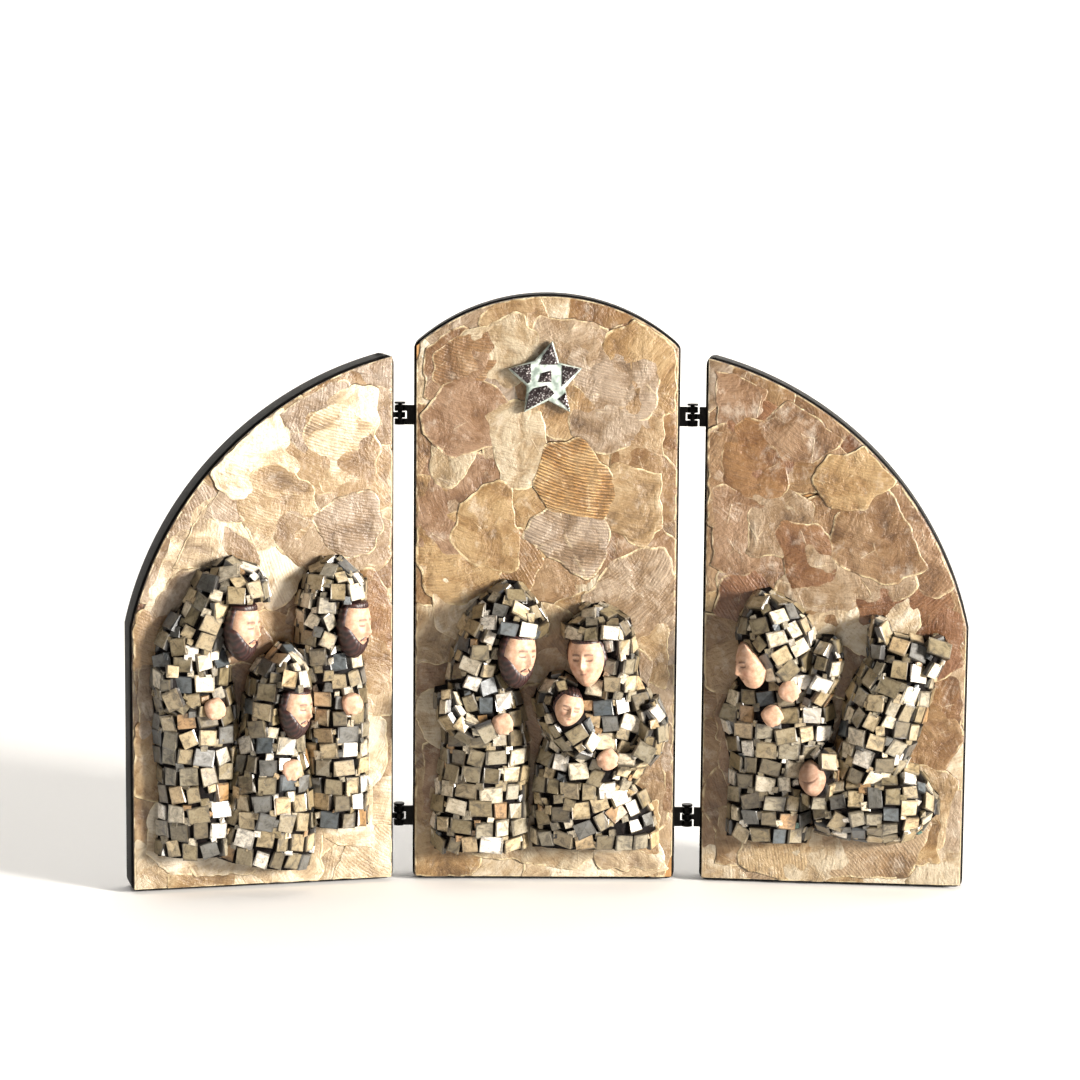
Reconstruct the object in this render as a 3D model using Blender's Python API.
"""Three-leaf nativity booklet: arched boards faced with capiz shell, mosaic relief figures, iron hinges.

The centre board stands at the origin, its front towards -Y, and each wing turns on two butt hinges
fixed to the backs of the boards. Every board is modelled flat in its own plane: x across, y up and
z out of the front, with the middle of its bottom edge as the zero point.
"""

import math
import random

import bmesh
import bpy
import numpy as np
from mathutils import Matrix, Vector

MM = 0.001
CLEARANCE = 0.3 * MM

# Boards
PANEL_WIDTH = 67 * MM
PANEL_THICKNESS = 10 * MM
EDGE_ROUND = 0.6 * MM
CORNER_RADIUS = 2.2 * MM
CENTRE_PEAK_HEIGHT = 149.5 * MM
CENTRE_ARCH_RADIUS = 50 * MM
WING_INNER_HEIGHT = 134.5 * MM
WING_OUTER_HEIGHT = 67 * MM
WING_ARCH_RADIUS = 90 * MM
ARCH_STEPS = 14

# The pose of the two wings, turned forward from flat
BOARD_GAP = 7.6 * MM
LEFT_WING_ANGLE = math.radians(14)
RIGHT_WING_ANGLE = math.radians(6.5)

# Shell facing: a thin sheet cut into chips that stand up by one of a few heights
FACING_REVEAL = 0.7 * MM
FACING_SHEET = 0.5 * MM
CHIP_COUNT = 24
CHIP_JOINT = 0.25 * MM
CHIP_RISES = (0.35 * MM, 0.55 * MM, 0.75 * MM)

# Mosaic on the relief figures
TILE_PITCH = 5.8 * MM
TILE_JOINT = 0.35 * MM
TILE_RISE = 0.7 * MM
FIGURE_GAP = 0.6 * MM
FULLNESS = 0.8

# Star
STAR_CENTRE_X = -1.2 * MM
STAR_BELOW_PEAK = 22 * MM
STAR_POINT_RADIUS = 10.2 * MM
STAR_NOTCH_RADIUS = 5.0 * MM
STAR_RIM = 1.0 * MM
STAR_PEAK = 1.8 * MM
STAR_TURN = math.radians(-6)

# Butt hinges
HINGE_HEIGHT = 5 * MM
HINGE_LEVELS = {"lower": 14 * MM, "upper": 118 * MM}
LEAF_THICKNESS = 0.8 * MM
LEAF_ON_BOARD = 6 * MM
BARREL_RADIUS = 1.4 * MM
BORE_RADIUS = 0.85 * MM
PIN_RADIUS = 0.55 * MM
PIN_HEAD = 0.5 * MM
KNUCKLE_GAP = 0.35 * MM
ROUND_SIDES = 12

# Faces, beards and hands
HEAD_SIDES = 12
HEAD_RINGS = 6
HAND_SIDES = 8
HAND_LENGTH = 6.0 * MM
HAND_WIDTH = 4.6 * MM
HAND_THICKNESS = 3.2 * MM
WELL_REACH = 8 * MM
BEARD_GROWTH = 1.1 * MM
BEARD_DROP = 0.7 * MM

FACING_FRONT = PANEL_THICKNESS / 2 + CLEARANCE + FACING_SHEET + max(CHIP_RISES)
RELIEF_BASE = FACING_FRONT + CLEARANCE
AXIS_Y = PANEL_THICKNESS / 2 + CLEARANCE + LEAF_THICKNESS / 2
AXIS_X = PANEL_WIDTH / 2 + BOARD_GAP / 2


# Each relief form is a run of stations in millimetres on its board: across, up, half width, height of relief.
# A face has its middle, its size, its turn and lean in degrees, and where the edge of a hood crosses it: the
# distance of that edge from the middle of the face and its slope.
FIGURES = {
    "father": {
        "board": "centre",
        "forms": [
            [(-16.4, 8.4, 11.6, 7), (-16.3, 16, 11.9, 8), (-15.6, 26, 11.4, 8.3), (-15.2, 37, 10.6, 8.5),
             (-16.0, 47, 9.6, 8.3), (-17.4, 55, 7.4, 8)],
            [(-18.6, 50, 6.6, 8.4), (-17.2, 57, 6.4, 9.4), (-15.6, 64, 5.8, 9.8),
             (-13.8, 69.5, 4.6, 9.0)],
            [(-9.8, 64.9, 10.2, 11.4), (-9.3, 68.4, 9.8, 11.0), (-8.7, 72.4, 6.8, 8.6), (-8.3, 75.2, 3.4, 6)],
            [(-24.6, 50, 3.2, 8.5), (-22.8, 43.8, 4.2, 10.6), (-18.4, 40.4, 4.2, 11.4), (-13.8, 41.4, 3.2, 11)],
        ],
        "face": {"at": (-7.0, 59.4, 8), "size": (9.8, 14), "yaw": 42, "tilt": -6, "brow": (5.0, 9)},
        "beard": True,
        "hands": {"hand": (-10.6, 42.4, 10.2, 20)},
        "behind": [],
    },
    "mother": {
        "board": "centre",
        "forms": [
            [(12.8, 9.6, 15.6, 7.5), (12.6, 15, 15.4, 8.5), (10.4, 20.5, 13.4, 8.8), (9.8, 26, 12.2, 8.8),
             (12.4, 33, 13.4, 8.8), (15.4, 41, 13.4, 8.7), (15.4, 49, 10.6, 8.2)],
            [(17.0, 46, 7.6, 8.4), (18.0, 55, 5.6, 9.4), (17.8, 62, 5.0, 9.6), (16.8, 66.6, 3.8, 8.4)],
            [(13.3, 63.6, 9.1, 11.4), (13.2, 66.6, 8.2, 10.4), (12.8, 69.4, 4.2, 6.6)],
            [(25.4, 47, 3.2, 8.5), (27.0, 40.6, 4.0, 10.4), (24.6, 34.8, 4.2, 11.4), (19.6, 32.6, 3.2, 11)],
        ],
        "face": {"at": (10.3, 58.4, 7.8), "size": (9.4, 13.6), "yaw": -18, "tilt": 3, "brow": (5.0, 0)},
        "beard": False,
        "hands": {"hand": (15.8, 33.4, 10.2, -60)},
        "behind": ["child"],
    },
    "child": {
        "board": "centre",
        "forms": [
            [(12.4, 35.2, 3.8, 11), (8.6, 38.4, 6.2, 12.6), (5.4, 43.6, 7.0, 13), (4.0, 48.6, 6.6, 12),
             (3.4, 52.2, 3.4, 9.6)],
        ],
        "face": {"at": (5.9, 46.4, 11.4), "size": (7.4, 8.8), "yaw": 8, "tilt": -14, "brow": None},
        "beard": False,
        "hands": {},
        "behind": [],
    },
    "standing_king": {
        "board": "left",
        "forms": [
            [(-16.6, 9.6, 10.6, 7), (-16.6, 18, 10.2, 8), (-17.2, 28, 9.6, 8.2), (-17.2, 40, 10.2, 8.4),
             (-18.0, 52, 9.6, 8.4), (-18.6, 62, 8.4, 8.2), (-17.8, 68, 6.4, 7.6)],
            [(-18.6, 58, 7.4, 8.4), (-16.8, 66, 6.4, 9.4), (-14.2, 73, 5.4, 9.8),
             (-12.4, 78.4, 4.4, 9.0)],
            [(-7.6, 73.9, 8.4, 11.4), (-7.7, 77.6, 8.0, 10.8), (-8.6, 80.6, 5.8, 8.4), (-9.0, 82.2, 3.4, 6)],
            [(-24.4, 58, 3.2, 8.5), (-24.0, 52, 4.0, 10.4), (-21.0, 48, 4.0, 11), (-17.4, 47.4, 3.0, 10.6)],
        ],
        "face": {"at": (-6.6, 67.6, 7.8), "size": (9.4, 14), "yaw": 44, "tilt": -4, "brow": (5.8, -2)},
        "beard": True,
        "hands": {"hand": (-14.0, 47.8, 9.8, 20)},
        "behind": ["kneeling_king"],
    },
    "rear_king": {
        "board": "left",
        "forms": [
            [(18.4, 15.5, 8.0, 7), (18.4, 26, 7.9, 7.8), (18.2, 38, 7.8, 8.2), (18.0, 48, 7.8, 8.2),
             (17.4, 57, 7.2, 7.8)],
            [(14.0, 53, 6.6, 8.4), (13.4, 62, 5.8, 9.4), (13.6, 72, 5.2, 9.8), (14.4, 78.2, 4.4, 9.0)],
            [(17.2, 73.7, 8.5, 11.4), (17.2, 77.2, 8.2, 10.8), (17.2, 80.2, 5.8, 8.4), (17.2, 82, 3.4, 6)],
        ],
        "face": {"at": (21.4, 67.4, 7.8), "size": (9.2, 14), "yaw": 44, "tilt": -4, "brow": (5.8, 0)},
        "beard": True,
        "hands": {"hand": (20.6, 47.6, 9.0, 10)},
        "behind": ["kneeling_king"],
    },
    "kneeling_king": {
        "board": "left",
        "forms": [
            [(-1.2, 6.8, 12.4, 10), (-0.2, 13, 12.4, 11), (0.8, 21, 11.6, 11.5), (1.0, 29, 10.4, 11.5),
             (1.2, 37, 8.8, 11), (1.4, 42, 7.4, 10.6)],
            [(-1.0, 40, 5.6, 10.8), (-0.8, 47, 4.8, 12), (0.0, 52, 4.6, 12.4), (1.4, 57, 3.8, 11.4)],
            [(4.0, 52.4, 7.2, 14.6), (4.5, 56.2, 6.4, 13.4), (4.6, 59.2, 4.2, 10.6), (4.6, 61, 2.4, 8)],
        ],
        "face": {"at": (6.2, 47.2, 10.4), "size": (8.8, 12.6), "yaw": 42, "tilt": -6, "brow": (4.7, 8)},
        "beard": True,
        "hands": {"hand": (5.0, 32.0, 10.8, 15)},
        "behind": [],
    },
    "shepherd": {
        "board": "right",
        "forms": [
            [(-16.2, 12, 10.2, 7), (-15.6, 20, 10.4, 8), (-14.8, 30, 10.8, 8.4), (-14.2, 38, 12.8, 8.4),
             (-14.0, 44.5, 14.2, 8.2), (-14.4, 51, 11.0, 7.6)],
            [(-10.0, 50.5, 5.4, 9.4), (-11.8, 57, 8.0, 11), (-14.8, 63.8, 9.6, 11.4), (-16.6, 69.4, 7.8, 9.8),
             (-17.4, 72.6, 4.8, 8), (-17.7, 74.4, 2.6, 6)],
            [(-5.4, 48, 4.0, 8.6), (-3.4, 54, 4.3, 10), (-2.0, 59.5, 4.1, 10.2), (-1.7, 63.2, 2.6, 8)],
        ],
        "face": {"at": (-20.6, 57.6, 8.8), "size": (8.8, 12), "yaw": -38, "tilt": 12, "brow": (2.2, 49)},
        "beard": False,
        "hands": {"upper_hand": (-11.0, 51.6, 10.6, 55), "lower_hand": (-15.2, 45.2, 9.6, 40)},
        "behind": ["lamb"],
    },
    "ox": {
        "board": "right",
        "forms": [
            [(7.8, 27.5, 8.4, 8.6), (9.0, 32, 8.7, 9.4), (11.3, 40, 9.6, 10.2), (13.6, 48, 10.2, 10.4),
             (16.4, 55.5, 9.0, 10), (17.6, 61, 7.8, 8.6)],
            [(12.4, 58, 3.5, 8.8), (11.5, 64, 3.1, 8.4), (11.1, 68.4, 1.9, 6.4)],
            [(22.8, 56.5, 3.5, 8.8), (25.0, 61, 2.9, 8.4), (26.2, 64, 1.8, 6.4)],
        ],
        "face": None,
        "beard": False,
        "hands": {},
        "behind": ["lamb"],
    },
    "lamb": {
        "board": "right",
        "forms": [
            [(-4.6, 20.4, 5.8, 9), (1.0, 21.0, 8.0, 11), (8.5, 21.8, 9.4, 12), (16.0, 22.2, 10.0, 11.8),
             (21.4, 22.2, 8.4, 10), (24.2, 22.0, 4.6, 7.4)],
            [(-3.8, 23, 3.8, 11.6), (-3.2, 27, 4.8, 12.6), (-2.4, 31.6, 4.8, 12.2), (-1.8, 35, 3.0, 10.4)],
        ],
        "face": {"at": (-4.8, 29.4, 11.0), "size": (7.0, 8.4), "yaw": -22, "tilt": 10, "brow": None},
        "beard": False,
        "hands": {},
        "behind": [],
    },
}


def clear_scene():
    for item in list(bpy.data.objects):
        bpy.data.objects.remove(item, do_unlink=True)


def new_collection(name):
    collection = bpy.data.collections.new(name)
    bpy.context.scene.collection.children.link(collection)
    return collection


def new_material(name, colour, roughness, metallic=0.0):
    material = bpy.data.materials.new(name)
    material.use_nodes = True
    shader = material.node_tree.nodes["Principled BSDF"]
    shader.inputs["Base Color"].default_value = (*colour, 1.0)
    shader.inputs["Roughness"].default_value = roughness
    shader.inputs["Metallic"].default_value = metallic
    return material


def new_body(name, location, turn):
    """An empty that carries the pieces of one moving body, with its Z axis on the joint's axis."""
    empty = bpy.data.objects.new(name, None)
    empty.location = location
    empty.rotation_euler = (0, 0, turn)
    empty.empty_display_size = 0.02
    PARTS.objects.link(empty)
    return empty


def place(obj, board, material=None):
    """Stands an object that was modelled in a board's plane on that board."""
    if material:
        obj.data.materials.append(material)
    obj.parent = BOARDS[board]["body"]
    obj.location = BOARDS[board]["offset"]
    obj.rotation_euler = (math.pi / 2, 0, 0)
    return obj


def object_from(name, bm, collection):
    bmesh.ops.recalc_face_normals(bm, faces=bm.faces)
    mesh = bpy.data.meshes.new(name)
    bm.to_mesh(mesh)
    bm.free()
    obj = bpy.data.objects.new(name, mesh)
    collection.objects.link(obj)
    return obj


def as_helper(obj):
    obj.hide_render = True
    obj.display_type = "WIRE"
    return obj


def boolean(target, other, operation, solver="EXACT"):
    modifier = target.modifiers.new(f"{operation.lower()}_{other.name}", "BOOLEAN")
    modifier.operation = operation
    modifier.solver = solver
    modifier.object = other


def round_corners(points, radius):
    """A closed outline with every real corner turned on the given radius."""
    rounded = []
    for before, corner, after in zip(points[-1:] + points[:-1], points, points[1:] + points[:1]):
        arrive = (corner - before).normalized()
        leave = (after - corner).normalized()
        turn = arrive.angle(leave)
        if turn < math.radians(25):
            rounded.append(corner)
            continue
        setback = radius * math.tan(turn / 2)
        start = corner - arrive * setback
        end = corner + leave * setback
        rounded.append(start)
        rounded.append((start + end) / 4 + corner / 2)
        rounded.append(end)
    return rounded


def arched_outline(left, right, arc_centre, arc_radius, inset):
    """Flat foot, two upright sides and an arc over the top, drawn in by the inset all round."""
    low = inset
    near = left + inset
    far = right - inset
    radius = arc_radius - inset
    start = math.acos((far - arc_centre.x) / radius)
    end = math.acos((near - arc_centre.x) / radius)
    points = [Vector((near, low)), Vector((far, low))]
    for step in range(ARCH_STEPS + 1):
        angle = start + (end - start) * step / ARCH_STEPS
        points.append(arc_centre + radius * Vector((math.cos(angle), math.sin(angle))))
    return points


def centre_outline(inset=0.0):
    half = PANEL_WIDTH / 2
    middle = Vector((0.0, CENTRE_PEAK_HEIGHT - CENTRE_ARCH_RADIUS))
    return round_corners(arched_outline(-half, half, middle, CENTRE_ARCH_RADIUS, inset), CORNER_RADIUS)


def right_outline(inset=0.0):
    half = PANEL_WIDTH / 2
    inner = Vector((-half, WING_INNER_HEIGHT))
    outer = Vector((half, WING_OUTER_HEIGHT))
    chord = outer - inner
    sag = math.sqrt(WING_ARCH_RADIUS**2 - (chord.length / 2) ** 2)
    middle = (inner + outer) / 2 + Vector((chord.y, -chord.x)).normalized() * sag
    return round_corners(arched_outline(-half, half, middle, WING_ARCH_RADIUS, inset), CORNER_RADIUS)


def left_outline(inset=0.0):
    return [Vector((-point.x, point.y)) for point in reversed(right_outline(inset))]


OUTLINES = {"centre": centre_outline, "left": left_outline, "right": right_outline}


def make_board(board):
    """A sawn and sanded board: the outline as a filled curve with softly rounded edges."""
    curve = bpy.data.curves.new(f"{board}_board", "CURVE")
    curve.dimensions = "2D"
    curve.fill_mode = "BOTH"
    curve.extrude = PANEL_THICKNESS / 2 - EDGE_ROUND
    curve.bevel_depth = EDGE_ROUND
    curve.bevel_resolution = 1
    curve.offset = -EDGE_ROUND
    points = OUTLINES[board]()
    spline = curve.splines.new("POLY")
    spline.points.add(len(points) - 1)
    for slot, point in zip(spline.points, points):
        slot.co = (point.x, point.y, 0, 1)
    spline.use_cyclic_u = True
    obj = bpy.data.objects.new(f"{board}_board", curve)
    PARTS.objects.link(obj)
    return place(obj, board, BLACK_PAINT)


def split_largest(bm, rng):
    """Breaks the largest chip across its middle, roughly square to its longest way."""
    chip = max(bm.faces, key=lambda face: face.calc_area())
    middle = chip.calc_center_median()
    longest = max((corner.co - middle for corner in chip.verts), key=lambda reach: reach.length)
    turn = Matrix.Rotation(rng.uniform(-0.6, 0.6), 3, "Z")
    shift = Vector((rng.uniform(-1, 1), rng.uniform(-1, 1), 0)) * 0.12 * longest.length
    bmesh.ops.bisect_plane(
        bm,
        geom=[chip, *chip.edges, *chip.verts],
        dist=1e-6,
        plane_co=middle + shift,
        plane_no=turn @ longest.normalized(),
    )


def make_facing(board, seed):
    """Broken shell laid as crazy paving: one sheet whose chips stand up with fine joints between them."""
    rng = random.Random(seed)
    bm = bmesh.new()
    level = PANEL_THICKNESS / 2 + CLEARANCE
    bm.faces.new([bm.verts.new((point.x, point.y, level)) for point in OUTLINES[board](FACING_REVEAL)])
    while len(bm.faces) < CHIP_COUNT:
        split_largest(bm, rng)
    sheet = bmesh.ops.extrude_face_region(bm, geom=bm.faces[:], use_keep_orig=True)
    chips = [item for item in sheet["geom"] if isinstance(item, bmesh.types.BMFace)]
    lifted = [item for item in sheet["geom"] if isinstance(item, bmesh.types.BMVert)]
    bmesh.ops.translate(bm, verts=lifted, vec=(0, 0, FACING_SHEET))
    bmesh.ops.recalc_face_normals(bm, faces=bm.faces)
    for chip in chips:
        bmesh.ops.inset_individual(bm, faces=[chip], thickness=CHIP_JOINT, depth=rng.choice(CHIP_RISES))
    obj = object_from(f"{board}_shell_facing", bm, PARTS)
    return place(obj, board, SHELL)


def smooth_track(stations):
    """Stations joined by a curve through them, as rows of across, up, half width and relief in metres."""
    given = np.array(stations, float) * MM
    padded = np.vstack([2 * given[0] - given[1], given, 2 * given[-1] - given[-2]])
    rows = []
    for index in range(len(given) - 1):
        a, b, c, d = padded[index : index + 4]
        for step in range(16):
            t = step / 16
            rows.append(0.5 * (2 * b + (c - a) * t + (2 * a - 5 * b + 4 * c - d) * t**2
                               + (3 * b - a - 3 * c + d) * t**3))
    rows.append(given[-1])
    return np.array(rows)


def form_bmesh(stations, grow):
    """A half-round form lofted along its stations, flat behind. With grow it is a larger copy for a recess."""
    track = smooth_track(stations)
    travel = np.concatenate([[0], np.cumsum(np.linalg.norm(np.diff(track[:, :2], axis=0), axis=1))])
    girths = math.pi * np.sqrt((track[:, 2] ** 2 + track[:, 3] ** 2) / 2)
    rows = max(2, round(travel[-1] / TILE_PITCH))
    columns = max(3, round(float(girths.mean()) / TILE_PITCH))
    bm = bmesh.new()
    rings = []
    for row in range(rows + 1):
        along = travel[-1] * row / rows
        across, up, half, relief = (np.interp(along, travel, track[:, axis]) for axis in range(4))
        ahead = np.interp(along + MM / 10, travel, track[:, 0]), np.interp(along + MM / 10, travel, track[:, 1])
        back = np.interp(along - MM / 10, travel, track[:, 0]), np.interp(along - MM / 10, travel, track[:, 1])
        spine = Vector((ahead[0] - back[0], ahead[1] - back[1])).normalized()
        middle = Vector((across, up)) + spine * grow * ((row == rows) - (row == 0))
        side = Vector((spine.y, -spine.x))
        ring = []
        for column in range(columns + 1):
            angle = math.pi * column / columns
            lean = math.copysign(abs(math.cos(angle)) ** FULLNESS, math.cos(angle))
            flat = middle - side * (half + grow) * lean
            out = RELIEF_BASE + (relief + grow) * abs(math.sin(angle)) ** FULLNESS
            if column in (0, columns):
                out = RELIEF_BASE - 3 * grow
            ring.append(bm.verts.new((flat.x, flat.y, out)))
        rings.append(ring)
    front = []
    for near, far in zip(rings, rings[1:]):
        for column in range(columns):
            front.append(bm.faces.new((near[column], near[column + 1], far[column + 1], far[column])))
        bm.faces.new((near[-1], near[0], far[0], far[-1]))
    bm.faces.new(rings[0])
    bm.faces.new(rings[-1])
    bmesh.ops.recalc_face_normals(bm, faces=bm.faces)
    return bm, front


def make_form(name, stations, collection):
    """A relief form whose front is laid with square tesserae standing up from dark cement."""
    bm, front = form_bmesh(stations, 0.0)
    bmesh.ops.inset_individual(bm, faces=front, thickness=TILE_JOINT, depth=TILE_RISE)
    return object_from(name, bm, collection)


def make_recess(name, stations):
    bm, _ = form_bmesh(stations, TILE_RISE + FIGURE_GAP)
    return as_helper(object_from(name, bm, CUTTERS))


def egg_bmesh(radii, narrow, nose, sides=HEAD_SIDES):
    """A rounded head form, poles up, that can narrow towards the chin and carry a plain wedge nose."""
    bm = bmesh.new()
    bmesh.ops.create_uvsphere(bm, u_segments=sides, v_segments=HEAD_RINGS, radius=1.0)
    bmesh.ops.rotate(bm, verts=bm.verts, matrix=Matrix.Rotation(-math.pi / 2, 3, "X"))
    for vert in bm.verts:
        vert.co.x *= 1 - narrow * max(0.0, -vert.co.y)
    if nose:
        tip = min(bm.verts, key=lambda vert: (vert.co - Vector((0, -0.38, 0.92))).length)
        bridge = min(bm.verts, key=lambda vert: (vert.co - Vector((0, 0, 1))).length)
        tip.co.z += 0.30
        bridge.co.z += 0.12
    bmesh.ops.scale(bm, verts=bm.verts, vec=radii)
    return bm


def pose_egg(bm, at, yaw, tilt):
    """Turns a small piece and sets its middle at across, up and out from the back of the relief."""
    turn = Matrix.Rotation(math.radians(tilt), 3, "Z") @ Matrix.Rotation(math.radians(yaw), 3, "Y")
    bmesh.ops.rotate(bm, verts=bm.verts, matrix=turn)
    bmesh.ops.translate(bm, verts=bm.verts, vec=Vector(at) * MM + Vector((0, 0, RELIEF_BASE)))


def trim(bm, at, way):
    """Cuts a closed form flat at a plane and closes it, away from the way that the plane faces."""
    geometry = [*bm.verts, *bm.edges, *bm.faces]
    bmesh.ops.bisect_plane(bm, geom=geometry, dist=1e-7, plane_co=at, plane_no=way, clear_outer=True)
    bmesh.ops.holes_fill(bm, edges=[edge for edge in bm.edges if edge.is_boundary])


def room_from(name, bm, reach):
    """The room that a small piece needs: its own grown form, swept out through the front of the figure."""
    swept = bmesh.new()
    for vert in bm.verts:
        swept.verts.new(vert.co)
        if reach:
            swept.verts.new(vert.co + Vector((0, 0, reach)))
    bm.free()
    hull = bmesh.ops.convex_hull(swept, input=swept.verts)
    inside = [item for item in hull["geom_interior"] if isinstance(item, bmesh.types.BMVert)]
    bmesh.ops.delete(swept, geom=inside, context="VERTS")
    return as_helper(object_from(name, swept, CUTTERS))


def head_radii(face, grow):
    width, height = face["size"]
    return Vector((width / 2 * MM + grow, height / 2 * MM + grow, 0.42 * width * MM + grow))


def face_bmesh(face, grow, nose):
    """A head form, cut off where the edge of the hood crosses the brow."""
    bm = egg_bmesh(head_radii(face, grow), 0.22, nose)
    pose_egg(bm, face["at"], face["yaw"], face["tilt"])
    if face["brow"]:
        reach, slope = face["brow"]
        up = Vector((math.sin(math.radians(slope)), math.cos(math.radians(slope)), 0))
        trim(bm, Vector(face["at"]) * MM + up * (reach * MM + grow), up)
    return bm


def make_face(name, figure):
    solid = object_from(f"{name}_face", face_bmesh(figure["face"], 0.0, True), PARTS)
    recess = room_from(f"{name}_face_well", face_bmesh(figure["face"], CLEARANCE, False), WELL_REACH)
    return solid, recess


def beard_bmesh(face, grow):
    """A close beard: the jaw, grown a little and let down, below a slope from the ears to under the mouth."""
    bm = egg_bmesh(head_radii(face, BEARD_GROWTH + grow), 0.3, False)
    bmesh.ops.translate(bm, verts=bm.verts, vec=(0, -BEARD_DROP, 0))
    radii = head_radii(face, 0.0)
    slope = Vector((0, 1, 0.6)).normalized()
    trim(bm, Vector((0, -0.72 * radii.y, 0.8 * radii.z)) + slope * grow, slope)
    pose_egg(bm, face["at"], face["yaw"], face["tilt"])
    return bm


def make_beard(name, figure):
    face = figure["face"]
    solid = object_from(f"{name}_beard", beard_bmesh(face, 0.0), PARTS)
    seat = room_from(f"{name}_beard_seat", beard_bmesh(face, CLEARANCE), 0.0)
    recess = room_from(f"{name}_beard_well", beard_bmesh(face, CLEARANCE), WELL_REACH)
    return solid, seat, recess


def make_hand(name, figure, key):
    across, up, out, lean = figure["hands"][key]
    made = []
    for grow in (0.0, CLEARANCE):
        radii = (HAND_WIDTH / 2 + grow, HAND_LENGTH / 2 + grow, HAND_THICKNESS / 2 + grow)
        bm = egg_bmesh(radii, 0.15, False, HAND_SIDES)
        pose_egg(bm, (across, up, out), 0, lean)
        made.append(bm)
    solid = object_from(f"{name}_{key}", made[0], PARTS)
    recess = room_from(f"{name}_{key}_well", made[1], WELL_REACH)
    return solid, recess


def make_figure(name):
    """The mosaic body of one figure with recesses for its face, beard and hands."""
    figure = FIGURES[name]
    body = make_form(f"{name}_mosaic", figure["forms"][0], PARTS)
    place(body, figure["board"], TESSERAE)
    for index, stations in enumerate(figure["forms"][1:], 2):
        added = as_helper(make_form(f"{name}_form_{index}", stations, CUTTERS))
        place(added, figure["board"])
        boolean(body, added, "UNION")
    recesses = []
    if figure["face"]:
        face, recess = make_face(name, figure)
        place(face, figure["board"], FLESH)
        recesses.append(recess)
    if figure["beard"]:
        beard, seat, recess = make_beard(name, figure)
        place(beard, figure["board"], BEARD)
        place(seat, figure["board"])
        boolean(face, seat, "DIFFERENCE")
        recesses.append(recess)
    for key in figure["hands"]:
        hand, recess = make_hand(name, figure, key)
        place(hand, figure["board"], FLESH)
        recesses.append(recess)
    for recess in recesses:
        place(recess, figure["board"])
    figure["recesses"] = recesses
    figure["body"] = body


def let_into_neighbours(name):
    """Cuts a figure for its own small pieces and for the figures that stand in front of it."""
    figure = FIGURES[name]
    cutters = list(figure["recesses"])
    for front in figure["behind"]:
        cutters += FIGURES[front]["recesses"]
        for index, stations in enumerate(FIGURES[front]["forms"], 1):
            recess = make_recess(f"{front}_in_{name}_{index}", stations)
            cutters.append(place(recess, figure["board"]))
    # Recesses cross many small tile edges, where the exact solver can lose the whole body.
    for cutter in cutters:
        boolean(figure["body"], cutter, "DIFFERENCE", "MANIFOLD")


def make_star():
    """A five-pointed star, cut like a gem with ridges that run from its middle to each point."""
    bm = bmesh.new()
    corners = []
    for index in range(10):
        radius = STAR_POINT_RADIUS if index % 2 == 0 else STAR_NOTCH_RADIUS
        angle = math.pi / 2 + STAR_TURN + index * math.pi / 5
        corners.append(bm.verts.new((radius * math.cos(angle), radius * math.sin(angle), 0)))
    foot = bm.faces.new(corners)
    raised = bmesh.ops.extrude_face_region(bm, geom=[foot], use_keep_orig=True)["geom"]
    rim = [item for item in raised if isinstance(item, bmesh.types.BMVert)]
    crown = [item for item in raised if isinstance(item, bmesh.types.BMFace)]
    bmesh.ops.translate(bm, verts=rim, vec=(0, 0, STAR_RIM))
    bmesh.ops.recalc_face_normals(bm, faces=bm.faces)
    bmesh.ops.poke(bm, faces=crown, offset=STAR_PEAK)
    bmesh.ops.translate(bm, verts=bm.verts, vec=(STAR_CENTRE_X, CENTRE_PEAK_HEIGHT - STAR_BELOW_PEAK, RELIEF_BASE))
    return place(object_from("star", bm, PARTS), "centre", STAR_FOIL)


def cylinder_bmesh(radius, low, high):
    bm = bmesh.new()
    bmesh.ops.create_cone(bm, cap_ends=True, segments=ROUND_SIDES, radius1=radius, radius2=radius,
                          depth=high - low)
    bmesh.ops.translate(bm, verts=bm.verts, vec=(0, 0, (high + low) / 2))
    return bm


def box_bmesh(low, high):
    bm = bmesh.new()
    bmesh.ops.create_cube(bm, size=1.0)
    bmesh.ops.scale(bm, verts=bm.verts, vec=Vector(high) - Vector(low))
    bmesh.ops.translate(bm, verts=bm.verts, vec=(Vector(high) + Vector(low)) / 2)
    return bm


def make_leaf(name, way, level, knuckles, notches, body):
    """One leaf of a butt hinge about the Z axis: plate, rolled knuckles with their bore, and clear notches."""
    half = HINGE_HEIGHT / 2
    near = (way * PIN_RADIUS / 2, -LEAF_THICKNESS / 2, -half)
    far = (way * (BOARD_GAP / 2 + LEAF_ON_BOARD), LEAF_THICKNESS / 2, half)
    low = [min(a, b) for a, b in zip(near, far)]
    high = [max(a, b) for a, b in zip(near, far)]
    leaf = object_from(name, box_bmesh(low, high), PARTS)
    leaf.data.materials.append(IRON)
    tools = [("UNION", cylinder_bmesh(BARREL_RADIUS, *span)) for span in knuckles]
    reach = BARREL_RADIUS + KNUCKLE_GAP
    for start, stop in notches:
        tools.append(("DIFFERENCE", box_bmesh((-reach, -reach, start), (reach, reach, stop))))
    tools.append(("DIFFERENCE", cylinder_bmesh(BORE_RADIUS, -HINGE_HEIGHT, HINGE_HEIGHT)))
    for index, (operation, bm) in enumerate(tools):
        tool = as_helper(object_from(f"{name}_tool_{index}", bm, CUTTERS))
        boolean(leaf, tool, operation)
        tool.parent = body
        tool.location = level
    leaf.parent = body
    leaf.location = level
    return leaf


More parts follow.
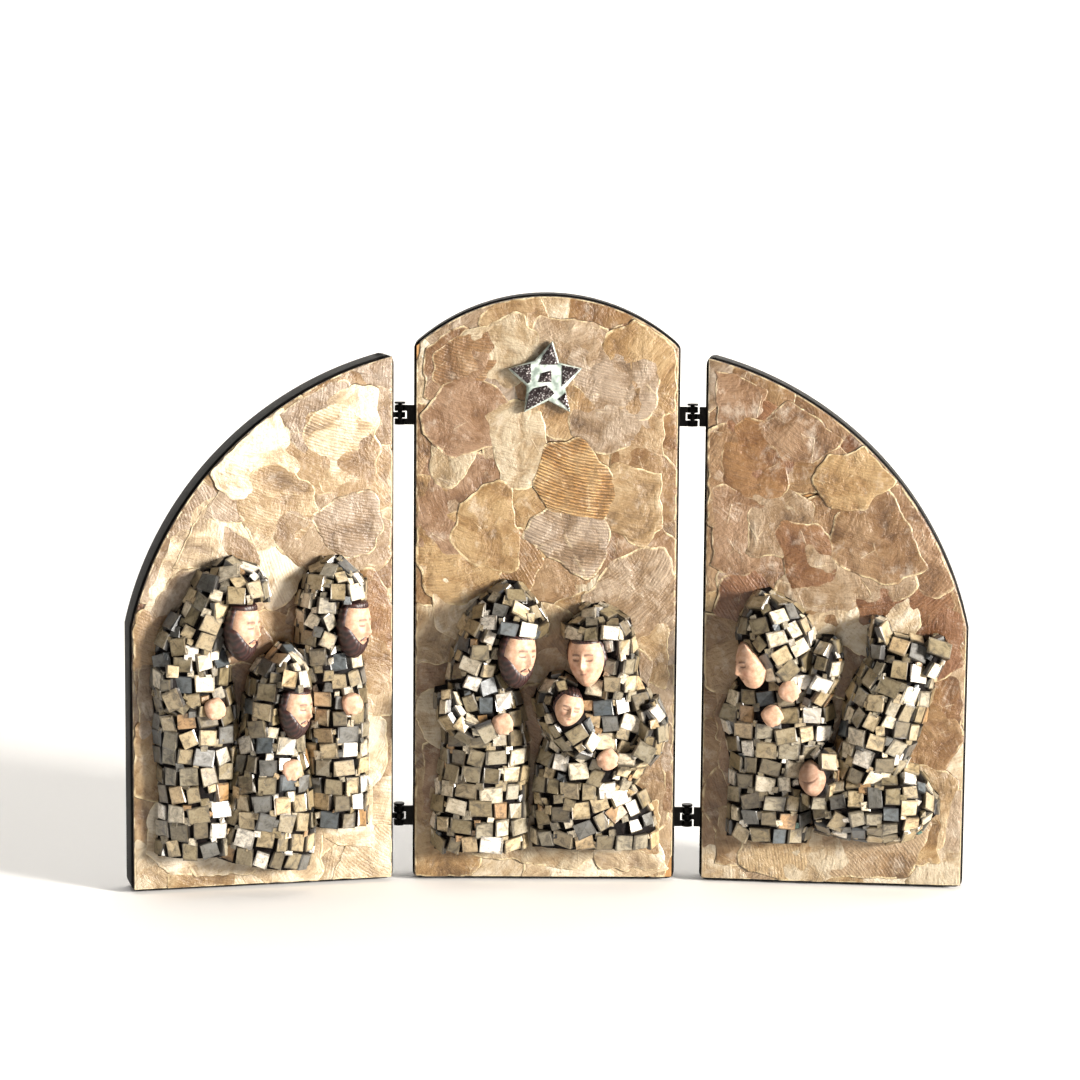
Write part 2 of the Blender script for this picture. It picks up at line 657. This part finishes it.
def make_pin(name, level, body):
    """A drawn pin with a low head above the top knuckle."""
    half = HINGE_HEIGHT / 2
    pin = object_from(name, cylinder_bmesh(PIN_RADIUS, -half, half + 2 * CLEARANCE), PARTS)
    pin.data.materials.append(IRON)
    head = cylinder_bmesh(BARREL_RADIUS, half + CLEARANCE, half + CLEARANCE + PIN_HEAD)
    head = as_helper(object_from(f"{name}_head", head, CUTTERS))
    boolean(pin, head, "UNION")
    for piece in (pin, head):
        piece.parent = body
        piece.location = level
    return pin


def make_hinge(side, which, way):
    """A three-knuckle butt hinge: the outer two knuckles stay with the centre board, the middle one turns."""
    half = HINGE_HEIGHT / 2
    third = HINGE_HEIGHT / 6
    outer = [(-half, -third - KNUCKLE_GAP / 2), (third + KNUCKLE_GAP / 2, half)]
    middle = [(-third + KNUCKLE_GAP / 2, third - KNUCKLE_GAP / 2)]
    middle_room = [(-third - KNUCKLE_GAP / 2, third + KNUCKLE_GAP / 2)]
    outer_room = [(-half - CLEARANCE, -third + KNUCKLE_GAP / 2), (third - KNUCKLE_GAP / 2, half + CLEARANCE)]
    centre = BOARDS["centre"]["body"]
    fixed_at = (way * AXIS_X, AXIS_Y, HINGE_LEVELS[which])
    turning_at = (0, 0, HINGE_LEVELS[which])
    make_leaf(f"{side}_{which}_fixed_leaf", -way, fixed_at, outer, middle_room, centre)
    make_leaf(f"{side}_{which}_wing_leaf", way, turning_at, middle, outer_room, BOARDS[side]["body"])
    make_pin(f"{side}_{which}_hinge_pin", fixed_at, centre)


clear_scene()
PARTS = new_collection("capiz_nativity_booklet")
CUTTERS = new_collection("cutters")
CUTTERS.hide_render = True

BLACK_PAINT = new_material("black_painted_wood", (0.012, 0.010, 0.009), 0.45)
SHELL = new_material("lacquered_capiz_shell", (0.62, 0.47, 0.30), 0.3)
TESSERAE = new_material("shell_tesserae_in_cement", (0.38, 0.30, 0.19), 0.35)
FLESH = new_material("painted_stoneware", (0.66, 0.42, 0.30), 0.6)
BEARD = new_material("brown_glazed_beard", (0.035, 0.014, 0.012), 0.35)
STAR_FOIL = new_material("clear_star_over_foil", (0.55, 0.57, 0.56), 0.15, 0.6)
IRON = new_material("blackened_iron", (0.02, 0.018, 0.017), 0.45, 0.8)

WING_SHIFT = BOARD_GAP / 2 + PANEL_WIDTH / 2
BOARDS = {
    "centre": {"body": new_body("centre_body", (0, 0, 0), 0), "offset": (0, 0, 0)},
    "left": {
        "body": new_body("left_wing_axis", (-AXIS_X, AXIS_Y, 0), LEFT_WING_ANGLE),
        "offset": (-WING_SHIFT, -AXIS_Y, 0),
    },
    "right": {
        "body": new_body("right_wing_axis", (AXIS_X, AXIS_Y, 0), -RIGHT_WING_ANGLE),
        "offset": (WING_SHIFT, -AXIS_Y, 0),
    },
}

for board_name, chip_seed in (("centre", 11), ("left", 23), ("right", 37)):
    make_board(board_name)
    make_facing(board_name, chip_seed)
make_star()
for figure_name in FIGURES:
    make_figure(figure_name)
for figure_name in FIGURES:
    let_into_neighbours(figure_name)
for level_name in HINGE_LEVELS:
    make_hinge("left", level_name, -1)
    make_hinge("right", level_name, 1)
